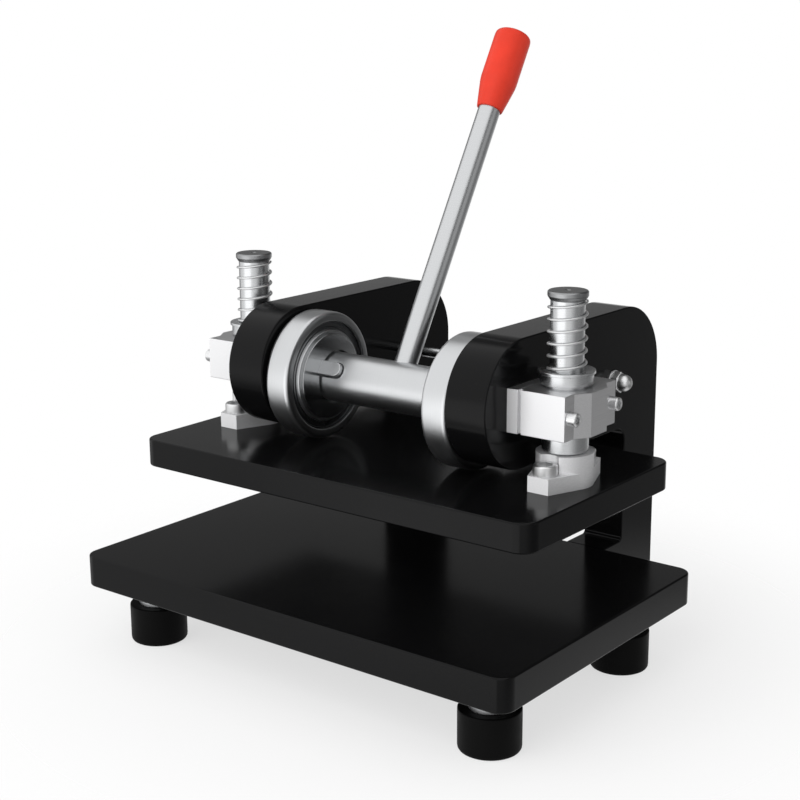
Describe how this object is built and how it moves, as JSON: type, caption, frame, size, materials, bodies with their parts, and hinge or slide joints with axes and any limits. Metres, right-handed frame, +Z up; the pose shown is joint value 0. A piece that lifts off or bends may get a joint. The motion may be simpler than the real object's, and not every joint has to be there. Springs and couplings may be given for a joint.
{
  "type": "manual die cutting machine",
  "caption": "Hand-lever die cutting press: black plates on rubber feet, twin C-shaped arms, eccentric ball bearings on a steel shaft, sprung guide posts, red grip",
  "frame": {"origin": "under the feet, at the middle of the machine's outline seen from above", "axes": "+Z up, -Y towards the operator, +X to the operator's right, along the drive shaft"},
  "size_m": [0.36, 0.299, 0.4266],
  "materials": {
    "black_gloss_paint": null,
    "bright_steel": null,
    "satin_aluminium": null,
    "dark_steel": null,
    "bronze": null,
    "black_rubber": null,
    "red_plastic": null
  },
  "bodies": {
    "frame": {"base_plate": "black_gloss_paint", "foot_front_left": "black_rubber", "foot_front_right": "black_rubber", "foot_back_left": "black_rubber", "foot_back_right": "black_rubber", "foot_spacers": "bright_steel", "foot_screws": "dark_steel", "arm_left": "black_gloss_paint", "arm_right": "black_gloss_paint", "arm_screws": "dark_steel", "shaft_bush_left": "bronze", "shaft_bush_right": "bronze", "tie_rod": "bright_steel", "tie_nuts": "bright_steel", "mount_plate_left": "satin_aluminium", "mount_plate_right": "satin_aluminium", "guide_block_left": "satin_aluminium", "guide_block_right": "satin_aluminium", "block_screws": "bright_steel", "guide_bush_left": "bright_steel", "guide_bush_right": "bright_steel", "return_spring_left": "bright_steel", "return_spring_right": "bright_steel"},
    "press": {"press_plate": "black_gloss_paint", "post_flange_left": "satin_aluminium", "post_flange_right": "satin_aluminium", "flange_screws": "bright_steel", "guide_post_left": "bright_steel", "guide_post_right": "bright_steel", "post_cap_left": "dark_steel", "post_cap_right": "dark_steel"},
    "lever": {"drive_shaft": "bright_steel", "shaft_key_left": "bright_steel", "shaft_key_right": "bright_steel", "eccentric_left": "dark_steel", "eccentric_right": "dark_steel", "inner_ring_left": "bright_steel", "inner_ring_right": "bright_steel", "handle_rod": "bright_steel", "handle_grip": "red_plastic"},
    "bearing_left": {"bearing_ring_left": "bright_steel", "bearing_shields_left": "dark_steel", "bearing_balls_left": "bright_steel"},
    "bearing_right": {"bearing_ring_right": "bright_steel", "bearing_shields_right": "dark_steel", "bearing_balls_right": "bright_steel"}
  },
  "joints": [
    {"name": "lever_turn", "type": "hinge", "parent": "frame", "child": "lever", "pos_m": [0, -0.0165, 0.18755], "axis": [1, 0, 0], "range_deg": [0, 75]},
    {"name": "press_slide", "type": "slide", "parent": "frame", "child": "press", "axis": [0, 0, -1], "range_m": [0, 0.00735], "stiffness_N_per_m": 8000, "springref_m": -0.02, "deforming": ["return_spring_left", "return_spring_right"]},
    {"name": "left_bearing_spin", "type": "hinge", "parent": "lever", "child": "bearing_left", "pos_m": [-0.0668, -0.0223, 0.1891], "axis": [1, 0, 0], "continuous": true},
    {"name": "right_bearing_spin", "type": "hinge", "parent": "lever", "child": "bearing_right", "pos_m": [0.0668, -0.0223, 0.1891], "axis": [1, 0, 0], "continuous": true}
  ],
  "couplings": [
    {"joint": "press_slide", "follows": "lever_turn", "m_per_rad": 0.0056}
  ]
}
